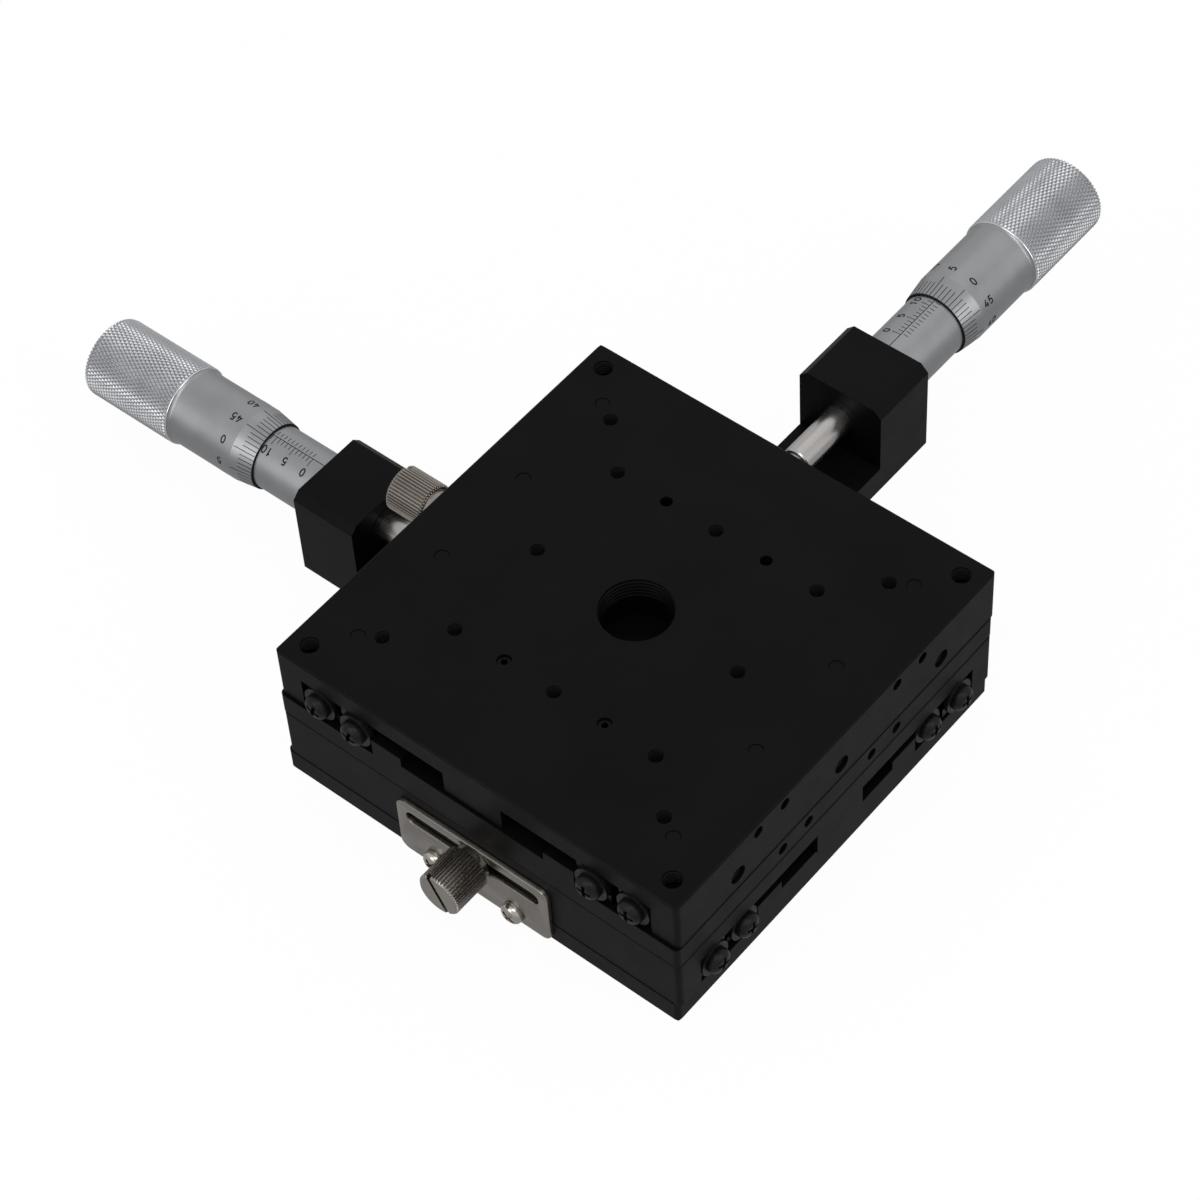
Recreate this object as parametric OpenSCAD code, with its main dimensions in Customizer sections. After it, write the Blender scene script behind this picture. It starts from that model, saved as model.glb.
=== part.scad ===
/* Two-axis crossed-roller stage with micrometer heads. The X stage stands on the bench and */
/* carries the Y stage, which is the same stage turned a quarter turn. Origin: middle of the */
/* X base's underside. One stage is drawn with its travel along X and its head at -X. */

/* [Plates] */
// Width and length of every plate
plate_w = 100; // [98:1:110]
// Height of one stage
stage_h = 19; // [19:0.25:21]
// Thickness of a base plate at its edges
base_h = 5.6; // [5.2:0.1:6]
// Thickness of a table's top, above its channels
roof_h = 5; // [4.8:0.1:5.4]
// Width of a table's legs
leg_w = 6.5; // [6:0.1:7]
// Radius of the plates' upright corners
corner_r = 1.2; // [0.8:0.1:2]
// Bevel along the plates' outer edges
bevel = 0.4; // [0.2:0.1:0.6]
// Narrowing of a table's sides, which clears the lock plate
side_relief = 0.1; // [0.05:0.05:0.3]

/* [Channels] */
// Gap between a table's legs and its base
leg_gap = 0.2; // [0.1:0.05:0.3]
// Height of the wall behind an inner rail, above the base's edge
wall_rise = 4.6; // [4:0.1:5]
// Half the width between those walls, as a share of the half width between the inner rails
channel_share = 0.704; // [0.68:0.001:0.74]
// Height of the base's middle, above its edge
platform_rise = 2.2; // [1.8:0.1:2.4]
// Half the width of the keel under a table, as a share of that same half width
keel_share = 0.285; // [0.27:0.001:0.3]
// Gap between the keel and the base
keel_gap = 0.4; // [0.3:0.05:0.6]
// Wall of the round boss around the threaded hole in the middle
boss_wall = 1.8; // [1.5:0.1:2]

/* [Crossed-roller rails] */
// Thickness of the washers that close the rails' ends, flush with the plates' edges
stop_washer_t = 1; // [0.8:0.1:1.5]
// Width of a rail
rail_w = 8.3; // [8.1:0.1:8.5]
// Gap between a rail and the plate that it isn't screwed to
rail_slack = 0.4; // [0.3:0.05:0.6]
// Gap between the two rails of a pair
rail_gap = 1.4; // [1.2:0.1:1.5]
// Gap between an outer rail and the leg beside it
preload_gap = 0.2; // [0.1:0.05:0.3]
// Diameter of the rollers
roller_d = 3; // [2.8:0.1:3]
// How much shorter than wide a roller is
roller_short = 0.14; // [0.1:0.01:0.2]
// Play between a roller and its groove, on each side
roller_play = 0.05; // [0.03:0.01:0.08]
// Free length of rail past each end of a cage's rollers
cage_room = 9; // [8.5:0.1:10]
// Spacing of the rollers
roller_pitch = 6.5; // [5:0.1:6.5]
// Thickness of a cage
cage_t = 0.5; // [0.4:0.05:0.6]
// Height of a cage
cage_h = 6.4; // [6:0.1:6.6]

/* [Table holes] */
// Distance of the corner holes from the edges; they also bolt the Y base to the X table
corner_inset = 5; // [5:0.1:5.5]
// Diameter of the corner holes
corner_hole_d = 4.1; // [4:0.05:4.2]
// Distance of the next four holes from the edges
inner_inset = 15; // [14.5:0.1:15.5]
// Spacing of the middle grid
grid_pitch = 25; // [24.5:0.1:25]
// Diameter of the grid holes
grid_hole_d = 3.1; // [2.9:0.05:3.2]
// Diameter of the small holes over the springs
spring_hole_d = 2.6; // [2.5:0.05:2.8]
// Diameter of the holes along the sides
side_hole_d = 2.6; // [2.4:0.1:2.8]

/* [Micrometer heads] */
// Height of a head's axis above the bottom of its stage
head_z = 15.7; // [15.4:0.1:15.9]
// Gap between the stage and the bracket's block
block_gap = 16; // [15.5:0.5:18]
// Length of the block along the head
block_l = 16; // [14:0.5:18]
// Width of the bracket
bracket_w = 20.5; // [19:0.5:22]
// Height of the bracket's top above the head's axis
bracket_rise = 8.1; // [7.9:0.1:9]
// Height of the bracket's underside above the bottom of its stage
bracket_z = 0.5; // [0.4:0.1:0.8]
// Thickness of the bracket's foot
foot_h = 6.5; // [6:0.1:6.8]
// Bevel along the bracket's top edges
bracket_bevel = 1.8; // [1.2:0.1:2.2]
// Diameter of the graduated sleeve
sleeve_d = 14.5; // [14:0.1:14.6]
// Distance from the X block to its sleeve's zero line
x_zero_offset = 3.6; // [3.2:0.1:5]
// Distance from the Y block to its sleeve's zero line
y_zero_offset = 4.4; // [3.2:0.1:5]
// Diameter of the thimble
thimble_d = 17.1; // [16.8:0.1:17.3]
// Diameter of the knurled grip
grip_d = 18.3; // [18:0.1:18.6]
// Diameter of the spindle
spindle_d = 6.35; // [6:0.05:6.5]
// Reading of the X head, in millimetres
x_reading = 11.44; // [11:0.01:12.5]
// Reading of the Y head, in millimetres
y_reading = 12.03; // [11:0.01:12.5]
// How far the X table stands from the middle of its base, towards +X
x_set = 0.6; // [-0.6:0.1:0.6]
// How far the Y table stands from the middle of its base, towards +Y
y_set = 0.55; // [-0.6:0.05:0.6]

/* [Locks] */
// Length of a lock plate
lock_plate_l = 38.4; // [37:0.1:39]
// Height of a lock plate
lock_plate_h = 15.7; // [15:0.1:17]
// Thickness of a lock plate
lock_plate_t = 1; // [0.8:0.1:1.2]
// Height of a lock screw's axis above the bottom of its stage
lock_z = 12.2; // [12:0.1:12.4]
// Diameter of a lock screw's knurled head
lock_head_d = 10; // [9:0.1:10.5]
// Length of that head
lock_head_l = 9; // [8:0.1:10]
// Ridges of its knurl
lock_ridges = 36; // [30:1:44]

/* [Hidden] */
$fn = 64;

// Finishes
anodised = [0.09, 0.09, 0.1];
satin_chrome = [0.66, 0.67, 0.69];
nickel = [0.6, 0.58, 0.54];
steel = [0.55, 0.56, 0.58];
dark_steel = [0.2, 0.2, 0.22];
brass = [0.72, 0.58, 0.3];

// Shared allowances: over is how far a cut runs past its faces, the plays are on the radius
over = 1;
thread_play = 0.05;
seat_play = 0.02;
pass_play = 0.2;
tip_room = 0.2;
floor_t = 1;
weld = 0.2;

// Levels above the bottom of a stage
half_w = plate_w / 2;
table_half = half_w - side_relief;
leg_z = base_h + leg_gap;
roof_z = stage_h - roof_h;
wall_z = base_h + wall_rise;
platform_z = base_h + platform_rise;
keel_z = platform_z + keel_gap;
rail_h = roof_z - base_h - rail_slack;
rail_axis = (roof_z - base_h) / 2;
roller_z = base_h + rail_axis;

// Places across a stage, from its middle line
leg_y = half_w - leg_w;
outer_rail_y = leg_y - preload_gap - rail_w;
pair_y = outer_rail_y - rail_gap / 2;
inner_rail_y = outer_rail_y - rail_gap - rail_w;
channel_y = channel_share * inner_rail_y;
keel_half = keel_share * inner_rail_y;
corner_spacing = plate_w - 2 * corner_inset;
inner_spacing = plate_w - 2 * inner_inset;
inner_mid_y = inner_rail_y + rail_w / 2;
outer_mid_y = outer_rail_y + rail_w / 2;
groove = (roller_d / 2 + roller_play) * sqrt(2) - rail_gap / 2;
roller_l = roller_d - roller_short;
rail_l = plate_w - 2 * stop_washer_t;
roller_count = floor((rail_l - 2 * cage_room) / roller_pitch);
cage_end = 3;
cage_l = (roller_count - 1) * roller_pitch + 2 * cage_end;
window_play = 0.15;

// Fasteners: nominal diameter, head diameter and head height
m2_5 = 2.5;
m3 = 3;
m4 = 4;
m2_5_pass_d = m2_5 + 2 * pass_play;
m3_hole_d = m3 + 2 * thread_play;
m3_pass_d = m3 + 2 * pass_play;
m4_hole_d = m4 + 2 * thread_play;
m4_pass_d = m4 + 2 * pass_play;
cap_head_d = 5.5;
cap_head_h = 3;
counterbore_d = 6;
counterbore_h = 3.2;
pan_head_d = 5.6;
pan_head_h = 2.6;
small_head_d = 5;
small_head_h = 1.9;
bracket_head_h = 2;
bracket_bore_h = 2.2;
bracket_lid = 0.5;
low_head_d = 7;
low_head_h = 2.6;
low_bore_d = 7.4;
low_bore_z = 2.8;
rail_screw_shares = [-1 / 2, -1 / 6, 1 / 6, 1 / 2];
rail_screw_inset = 11.5;
rail_screw_run = rail_l - 2 * rail_screw_inset;
rail_screw_sink = 0.15;
preload_pitch = 32;
preload_sink = 1;
table_side_outer = 51.4;
table_side_inner = 35.2;
table_side_drop = 2.5;
base_side_outer = 36;
base_side_inner = 20;
base_side_z = 3;
side_hole_depth = 6;
corner_floor = 0.3;
corner_hole_l = roof_h - corner_floor;

// Washers over the rails' ends, which keep the rollers in
stop_washer_d = 7.8;
stop_depth = 8;

// Springs: they pull the table onto the spindle
spring_at = grid_pitch;
spring_y = (keel_half + channel_y) / 2;
spring_room = 0.8;
spring_z = (keel_z + roof_z) / 2;
spring_d = 4.4;
spring_wire = 0.6;
spring_pin_d = 2.4;
spring_pin_drop = 0.8;
post_sink = 0.5;
hook_gap = 0.1;
hook_run = 1;

// Round boss in the middle of the keel, between the springs, and its threaded hole
boss_d = 2 * (spring_y - spring_d / 2 - spring_room);
centre_d = boss_d - 2 * boss_wall;

// Head, measured outwards from the stage's end
block_x = half_w + block_gap;
head_x = block_x + block_l;
stem_d = 10;
sleeve_l = 36;
stem_guide = 3;
thread_x = head_x + stem_guide;
x_edge = head_x + x_zero_offset + x_reading;
y_edge = head_x + y_zero_offset + y_reading;
spindle_thread_d = 8;
spindle_play = 0.05;
journal_d = 5;
journal_l = 12;
journal_grip = 1.2;
tip_bevel = 0.5;
anvil_d = 5;
anvil_l = 8;
anvil_proud = 0.6;
anvil_touch = 0.05;
taper_l = 5.6;
plain_l = 21.8;
flare_l = 1.8;
thimble_l = 47.8;
thimble_lip = 0.3;
thimble_play = 0.15;
thimble_bore_d = sleeve_d + 2 * thimble_play;
grip_bore_d = 16.4;
end_wall = 4.6;
cap_d = 12;
cap_l = 2.4;
cap_sink = 0.3;
cap_hole_d = 1.4;
cap_hole_depth = 1;
grip_round = 1.5;
tongue_l = 14;
tongue_h = 3.6;
lock_collar_d = 8;
lock_collar_l = 1.6;
lock_plate_z = 0.5;
lock_plate_r = 2.2;
lock_slot_h = 3.3;
lock_slot_margin = 2.4;
lock_slot_l = lock_plate_l - 2 * lock_slot_margin;
lock_thread_l = 6;
lock_ridge_h = 0.25;
driver_slot_w = 1;
driver_slot_depth = 1.2;
driver_slot_turn = 28;

function mirrored(half) = concat(half, [for (i = [len(half) - 1:-1:0]) [-half[i][0], half[i][1]]]);

// Places: each base and table carries what is fixed to it
module on_x_table() { translate([x_set, 0, 0]) children(); }
module on_x_cages() { translate([x_set / 2, 0, 0]) children(); }
module on_y_base() { translate([x_set, 0, stage_h]) rotate([0, 0, -90]) children(); }
module on_y_table() { translate([0, y_set, 0]) on_y_base() children(); }
module on_y_cages() { translate([0, y_set / 2, 0]) on_y_base() children(); }

// Helpers
module along_x(length) { rotate([90, 0, 90]) linear_extrude(length, center = true) children(); }
module rod_x(d, from, to) { translate([from, 0, 0]) rotate([0, 90, 0]) cylinder(d = d, h = to - from); }
module rod_y(d, from, to) { translate([0, from, 0]) rotate([-90, 0, 0]) cylinder(d = d, h = to - from); }
module both_sides() { for (turn = [0, 180]) rotate([0, 0, turn]) children(); }
module at_pair(pitch) { for (side = [-1, 1]) translate([side * pitch / 2, 0, 0]) children(); }
module at_corners(pitch) {
    for (x = [-1, 1], y = [-1, 1]) translate([x, y, 0] * pitch / 2) children();
}

module rounded_square(w, h, r) {
    square([w - 2 * r, h], center = true);
    square([w, h - 2 * r], center = true);
    for (x = [-1, 1], y = [-1, 1]) translate([x * (w / 2 - r), y * (h / 2 - r)]) circle(r);
}

module end_bevels(z) {
    bar = bevel * sqrt(2);
    for (side = [-1, 1]) translate([side * half_w, 0, z]) rotate([0, 45, 0])
        cube([bar, plate_w + over, bar], center = true);
}

module cross_recess(size, depth) {
    for (turn = [45, 135]) rotate([0, 0, turn]) cube([size, size / 4, 2 * depth], center = true);
}

// A pan-head screw, its head upwards from z = 0
module pan_screw(d, length, head_d, head_h) {
    translate([0, 0, -length]) cylinder(d = d, h = length);
    difference() {
        intersection() {
            cylinder(d = head_d, h = head_h);
            translate([0, 0, head_h - head_d]) sphere(r = head_d);
        }
        translate([0, 0, head_h]) cross_recess(head_d * 0.6, head_h * 0.55);
    }
}

// A cap screw, its head upwards from z = 0
module cap_screw(d, length, head_d, head_h) {
    translate([0, 0, -length]) cylinder(d = d, h = length);
    difference() {
        cylinder(d = head_d, h = head_h);
        translate([0, 0, head_h / 2]) cylinder(d = d, h = head_h, $fn = 6);
    }
}

// A headless screw with a hexagon socket, its socket end at z = 0
module grub_screw(d, length) {
    difference() {
        translate([0, 0, -length]) cylinder(d = d, h = length);
        translate([0, 0, -length / 3]) cylinder(d = d / 2, h = length, $fn = 6);
    }
}

// Plates
module base_plate() {
    section = mirrored([
        [channel_y, platform_z], [channel_y, wall_z], [inner_rail_y, wall_z], [inner_rail_y, base_h],
        [half_w, base_h], [half_w, bevel], [half_w - bevel, 0]
    ]);
    difference() {
        intersection() {
            along_x(plate_w) polygon(section);
            linear_extrude(stage_h) rounded_square(plate_w, plate_w, corner_r);
        }
        end_bevels(0);
        at_corners(corner_spacing) {
            translate([0, 0, -over]) cylinder(d = m4_pass_d, h = stage_h);
            translate([0, 0, low_bore_z]) cylinder(d = low_bore_d, h = stage_h);
        }
        at_rail_screws(inner_mid_y) translate([0, 0, floor_t]) cylinder(d = m3_hole_d, h = stage_h);
        at_spring_ends(-spring_at) translate([0, 0, floor_t])
            cylinder(d = spring_pin_d + 2 * seat_play, h = stage_h);
        translate([-half_w - over, -bracket_w / 2 - seat_play, -over])
            cube([tongue_l + over, bracket_w + 2 * seat_play, bracket_z + tongue_h + over]);
        at_tongue_screws() translate([0, 0, bracket_z])
            cylinder(d = m3_hole_d, h = platform_z - bracket_lid - bracket_z);
        for (pitch = [base_side_outer, base_side_inner]) at_pair(pitch) translate([0, 0, base_side_z])
            rod_y(side_hole_d, half_w - side_hole_depth, half_w + over);
        at_pair(base_side_inner) translate([0, 0, base_side_z])
            rod_y(side_hole_d, -half_w - over, side_hole_depth - half_w);
    }
}

module table_plate() {
    section = mirrored([
        [table_half - bevel, stage_h], [table_half, stage_h - bevel], [table_half, leg_z],
        [leg_y, leg_z], [leg_y, roof_z], [keel_half, roof_z], [keel_half, keel_z]
    ]);
    difference() {
        intersection() {
            union() {
                along_x(plate_w) polygon(section);
                translate([0, 0, keel_z]) cylinder(d = boss_d, h = roof_z - keel_z + over);
            }
            linear_extrude(stage_h) rounded_square(plate_w, plate_w - 2 * side_relief, corner_r);
        }
        end_bevels(stage_h);
        translate([0, 0, keel_z - over]) cylinder(d = centre_d, h = stage_h);
        at_corners(corner_spacing) translate([0, 0, stage_h - corner_hole_l])
            cylinder(d = corner_hole_d, h = corner_hole_l + over);
        at_corners(inner_spacing) translate([0, 0, roof_z - over]) cylinder(d = grid_hole_d, h = stage_h);
        for (x = [-1:1], y = [-1:1]) if (x != 0 || y != 0)
            translate([x * grid_pitch, y * grid_pitch, keel_z - over])
            cylinder(d = grid_hole_d, h = stage_h);
        at_spring_ends(-spring_at) translate([0, 0, roof_z - over])
            cylinder(d = spring_hole_d, h = stage_h);
        at_spring_ends(spring_at) translate([0, 0, roof_z - over]) cylinder(d = m3_hole_d, h = stage_h);
        at_rail_screws(outer_mid_y) translate([0, 0, roof_z - over]) cylinder(d = m3_hole_d, h = stage_h);
        translate([0, 0, head_z])
            rod_x(anvil_d + 2 * seat_play, -half_w - over, anvil_l - anvil_proud - half_w);
        at_preload_screws() rod_y(m4_hole_d, leg_y - over, half_w + over);
        for (pitch = [table_side_outer, table_side_inner]) at_pair(pitch)
            translate([0, 0, stage_h - table_side_drop])
            rod_y(side_hole_d, table_half - side_hole_depth, half_w + over);
        translate([0, 0, lock_z]) rod_y(m3_hole_d, -half_w - over, lock_thread_l + tip_room - half_w);
    }
}

// Rails, cages and rollers
module at_rail_screws(y) {
    for (share = rail_screw_shares, side = [-1, 1])
        translate([share * rail_screw_run, side * y, 0]) children();
}

module rail_section() {
    difference() {
        square([rail_w, rail_h]);
        translate([0, rail_axis]) rotate(45) square(groove * sqrt(2), center = true);
    }
}

// A rail standing on z = 0 with its groove towards -Y and its screw heads upwards
module rail() {
    difference() {
        along_x(rail_l) rail_section();
        for (share = rail_screw_shares) translate([share * rail_screw_run, rail_w / 2, 0]) {
            translate([0, 0, -over]) cylinder(d = m3_pass_d, h = rail_h + 2 * over);
            translate([0, 0, rail_h - counterbore_h]) cylinder(d = counterbore_d, h = counterbore_h + over);
        }
        for (side = [-1, 1]) translate([side * rail_l / 2, rail_w / 2, rail_axis])
            rotate([0, side * 90, 0]) translate([0, 0, -stop_depth - tip_room])
            cylinder(d = m3_hole_d, h = stop_depth + tip_room + over);
    }
}

module inner_rails() {
    both_sides() translate([0, inner_rail_y + rail_w, base_h]) mirror([0, 1, 0]) rail();
}

module outer_rails() {
    both_sides() translate([0, outer_rail_y, roof_z]) mirror([0, 0, 1]) rail();
}

module inner_rail_screws() {
    grip = rail_h - counterbore_h;
    at_rail_screws(inner_mid_y) translate([0, 0, base_h + grip])
        cap_screw(m3, base_h + grip - floor_t - tip_room, cap_head_d, cap_head_h);
}

module outer_rail_screws() {
    grip = rail_h - counterbore_h;
    at_rail_screws(outer_mid_y) translate([0, 0, roof_z - grip]) mirror([0, 0, 1])
        cap_screw(m3, roof_h + grip - rail_screw_sink, cap_head_d, cap_head_h);
}

module at_rail_ends(y) {
    for (end = [-1, 1], side = [-1, 1]) translate([end * rail_l / 2, side * y, roller_z])
        rotate([0, end * 90, 0]) children();
}

module stop_washer() {
    difference() {
        cylinder(d = stop_washer_d, h = stop_washer_t);
        translate([0, 0, -over]) cylinder(d = m3_pass_d, h = stop_washer_t + 2 * over);
    }
}

module stop_screw() {
    translate([0, 0, stop_washer_t]) pan_screw(m3, stop_washer_t + stop_depth, pan_head_d, pan_head_h);
}

module inner_stop_washers() { at_rail_ends(inner_mid_y) stop_washer(); }
module outer_stop_washers() { at_rail_ends(outer_mid_y) stop_washer(); }
module inner_stop_screws() { at_rail_ends(inner_mid_y) stop_screw(); }
module outer_stop_screws() { at_rail_ends(outer_mid_y) stop_screw(); }

module roller_places() {
    for (side = [-1, 1], i = [0:roller_count - 1])
        translate([(i - (roller_count - 1) / 2) * roller_pitch, side * pair_y, roller_z])
            rotate([i % 2 == 0 ? 45 : -45, 0, 0]) children();
}

module roller() { cylinder(d = roller_d, h = roller_l, center = true); }

module roller_cages() {
    difference() {
        for (side = [-1, 1]) translate([0, side * pair_y, roller_z])
            cube([cage_l, cage_t, cage_h], center = true);
        roller_places() cube([roller_d, roller_d, roller_l] + [2, 2, 2] * window_play, center = true);
    }
}

module at_preload_screws() {
    for (x = [-1:1]) translate([x * preload_pitch, 0, roller_z]) children();
}

module preload_screws() {
    end = half_w - preload_sink;
    at_preload_screws() translate([0, end, 0]) rotate([-90, 0, 0])
        grub_screw(m4, end - (outer_rail_y + rail_w) - seat_play);
}

// Springs and their posts
module at_spring_ends(x) {
    for (side = [-1, 1]) translate([x, side * spring_y, 0]) children();
}

module base_spring_pins() {
    foot = floor_t + tip_room;
    at_spring_ends(-spring_at) translate([0, 0, foot])
        cylinder(d = spring_pin_d, h = roof_z - spring_pin_drop - foot);
}

module table_spring_posts() {
    end = stage_h - post_sink;
    at_spring_ends(spring_at) translate([0, 0, end]) grub_screw(m3, end - spring_z + spring_d / 2);
}

// A closed-wound spring: its winding as a tube, and a hook round the post at each end
module spring(from, to) {
    ring_r = (m3 + spring_wire) / 2 + hook_gap;
    rest = 2 * ring_r + hook_run;
    rotate([0, 90, 0]) translate([0, 0, from + rest]) difference() {
        cylinder(d = spring_d, h = to - from - 2 * rest);
        translate([0, 0, -over]) cylinder(d = spring_d - 2 * spring_wire, h = to - from);
    }
    translate([from, 0, 0]) hook(ring_r, rest);
    translate([to, 0, 0]) mirror([1, 0, 0]) hook(ring_r, rest);
}

// A spring's end: a ring round the post, a straight piece and a disc that closes the winding
module hook(ring_r, rest) {
    rotate_extrude() translate([ring_r, 0]) circle(d = spring_wire);
    rod_x(spring_wire, ring_r, rest + weld);
    rod_x(spring_d, rest, rest + spring_wire);
}

module springs(set) {
    for (side = [-1, 1]) translate([0, side * spring_y, spring_z]) spring(-spring_at, spring_at + set);
}

// Head: bracket, sleeve, spindle and thimble, all on the axis at head_z
module at_tongue_screws() {
    for (side = [-1, 1]) translate([-half_w + tongue_l / 2, side * bracket_w / 3, 0]) children();
}

module bracket() {
    top = head_z + bracket_rise;
    outline = mirrored([
        [bracket_w / 2 - bracket_bevel, top], [bracket_w / 2, top - bracket_bevel],
        [bracket_w / 2, bracket_z]
    ]);
    difference() {
        union() {
            translate([-block_x - block_l / 2, 0, 0]) along_x(block_l) polygon(outline);
            translate([-block_x - over, -bracket_w / 2, bracket_z])
                cube([block_gap + over, bracket_w, foot_h]);
            translate([-block_x, -bracket_w / 2, bracket_z])
                cube([block_gap + tongue_l, bracket_w, tongue_h]);
        }
        translate([0, 0, head_z]) rod_x(stem_d + 2 * seat_play, -head_x - over, -block_x + over);
        translate([-block_x - block_l / 2, 0, bracket_z - over]) cylinder(d = m4_hole_d, h = head_z);
        at_tongue_screws() translate([0, 0, bracket_z - over]) {
            cylinder(d = m3_pass_d, h = stage_h);
            cylinder(d = counterbore_d, h = bracket_bore_h + over);
        }
    }
}

module bracket_screws() {
    seat_z = bracket_z + bracket_bore_h;
    at_tongue_screws() translate([0, 0, seat_z]) mirror([0, 0, 1])
        cap_screw(m3, platform_z - bracket_lid - tip_room - seat_z, cap_head_d, bracket_head_h);
}

module sleeve_set_screw() {
    stem_z = head_z - stem_d / 2;
    translate([-block_x - block_l / 2, 0, bracket_z + over]) mirror([0, 0, 1])
        grub_screw(m4, stem_z - bracket_z - over - seat_play);
}

module sleeve() {
    translate([0, 0, head_z]) difference() {
        union() {
            rod_x(stem_d, -head_x, -block_x);
            rod_x(sleeve_d, -head_x - sleeve_l, -head_x);
        }
        rod_x(spindle_d + 2 * spindle_play, -head_x - sleeve_l, -block_x + over);
        rod_x(spindle_thread_d + 2 * spindle_play, -head_x - sleeve_l - over, -thread_x);
    }
}

module spindle(set, reading, edge) {
    tip = half_w - set + anvil_proud + anvil_touch;
    thread_from = thread_x + reading + over;
    journal_from = edge + thimble_l - end_wall - journal_l;
    translate([0, 0, head_z]) rotate([0, -90, 0]) rotate_extrude() polygon([
        [0, tip], [spindle_d / 2 - tip_bevel, tip], [spindle_d / 2, tip + tip_bevel],
        [spindle_d / 2, thread_from], [spindle_thread_d / 2, thread_from],
        [spindle_thread_d / 2, journal_from], [journal_d / 2, journal_from],
        [journal_d / 2, journal_from + journal_l + journal_grip],
        [0, journal_from + journal_l + journal_grip]
    ]);
}

module thimble(edge) {
    flare = edge + plain_l;
    end = edge + thimble_l;
    translate([0, 0, head_z]) rotate([0, -90, 0]) difference() {
        rotate_extrude() polygon([
            [thimble_bore_d / 2, edge], [thimble_bore_d / 2 + thimble_lip, edge],
            [thimble_d / 2, edge + taper_l], [thimble_d / 2, flare],
            [grip_d / 2, flare + flare_l], [grip_bore_d / 2, flare + flare_l],
            [grip_bore_d / 2, end - cap_l], [journal_d / 2 + spindle_play, end - cap_l],
            [journal_d / 2 + spindle_play, end - end_wall], [thimble_bore_d / 2, end - end_wall]
        ]);
    }
}

module grip(edge) {
    start = edge + plain_l + flare_l;
    end = edge + thimble_l;
    translate([0, 0, head_z]) rotate([0, -90, 0]) rotate_extrude() difference() {
        union() {
            translate([cap_d / 2, start]) square([(grip_d - cap_d) / 2, end - grip_round - start]);
            translate([cap_d / 2, start]) square([(grip_d - cap_d) / 2 - grip_round, end - start]);
            translate([grip_d / 2 - grip_round, end - grip_round]) circle(grip_round);
        }
        translate([0, start - over])
            square([grip_bore_d / 2 + seat_play, end - cap_l + seat_play - start + over]);
    }
}

module thimble_cap(edge) {
    end = edge + thimble_l;
    translate([0, 0, head_z]) rotate([0, -90, 0]) difference() {
        translate([0, 0, end - cap_l + seat_play])
            cylinder(d = cap_d - 2 * seat_play, h = cap_l - seat_play - cap_sink);
        at_pair(cap_d / 2) translate([0, 0, end - cap_sink - cap_hole_depth])
            cylinder(d = cap_hole_d, h = cap_l);
    }
}

module anvil() {
    translate([0, 0, head_z]) rod_x(anvil_d, -half_w - anvil_proud, anvil_l - anvil_proud - half_w);
}

// Locks: a slotted plate on the base, and a thumb screw through it into the table's leg
module on_lock_side() { translate([0, -half_w, 0]) rotate([90, 0, 0]) children(); }

module lock_plate() {
    middle_z = lock_plate_z + lock_plate_h / 2;
    slot_flat = lock_slot_l - lock_slot_h;
    on_lock_side() linear_extrude(lock_plate_t) difference() {
        translate([0, middle_z]) rounded_square(lock_plate_l, lock_plate_h, lock_plate_r);
        translate([0, lock_z]) square([slot_flat, lock_slot_h], center = true);
        for (side = [-1, 1]) translate([side * slot_flat / 2, lock_z]) circle(d = lock_slot_h);
        at_pair(base_side_inner) translate([0, base_side_z]) circle(d = m2_5_pass_d);
    }
}

module lock_plate_screws() {
    on_lock_side() at_pair(base_side_inner) translate([0, base_side_z, lock_plate_t])
        pan_screw(m2_5, lock_plate_t + side_hole_depth - tip_room, small_head_d, small_head_h);
}

module lock_screw() {
    r = lock_head_d / 2;
    turn = 180 / lock_ridges;
    function ridge_r(i) = i % 2 == 0 ? r : r - lock_ridge_h;
    star = [for (i = [0:2 * lock_ridges - 1]) ridge_r(i) * [cos(i * turn), sin(i * turn)]];
    cone_l = lock_head_l + r;
    on_lock_side() translate([0, lock_z, lock_plate_t + seat_play]) difference() {
        union() {
            translate([0, 0, -lock_plate_t - lock_thread_l])
                cylinder(d = m3, h = lock_plate_t + lock_thread_l + weld);
            cylinder(d = lock_collar_d, h = lock_collar_l);
            translate([0, 0, lock_collar_l]) intersection() {
                linear_extrude(lock_head_l) polygon(star);
                translate([0, 0, -r])
                    cylinder(r1 = r - lock_ridge_h + cone_l, r2 = r - lock_ridge_h, h = cone_l);
            }
        }
        translate([0, 0, lock_collar_l + lock_head_l]) rotate([0, 0, driver_slot_turn])
            cube([driver_slot_w, lock_head_d + over, 2 * driver_slot_depth], center = true);
    }
}

// The bolts that hold the Y base down on the X table
module stage_bolts_set() {
    at_corners(corner_spacing) translate([0, 0, low_bore_z])
        cap_screw(m4, low_bore_z + corner_hole_l - tip_room, low_head_d, low_head_h);
}

// X stage
module x_base_plate() { color(anodised) base_plate(); }
module x_inner_rails() { color(steel) inner_rails(); }
module x_inner_rail_screws() { color(dark_steel) inner_rail_screws(); }
module x_inner_stop_washers() { color(steel) inner_stop_washers(); }
module x_inner_stop_screws() { color(dark_steel) inner_stop_screws(); }
module x_bracket() { color(anodised) bracket(); }
module x_bracket_screws() { color(dark_steel) bracket_screws(); }
module x_sleeve() { color(satin_chrome) sleeve(); }
module x_sleeve_set_screw() { color(dark_steel) sleeve_set_screw(); }
module x_lock_plate() { color(nickel) lock_plate(); }
module x_lock_plate_screws() { color(nickel) lock_plate_screws(); }
module x_base_spring_pins() { color(steel) base_spring_pins(); }
module x_springs() { color(steel) springs(x_set); }
module x_table_plate() { color(anodised) on_x_table() table_plate(); }
module x_outer_rails() { color(steel) on_x_table() outer_rails(); }
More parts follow.
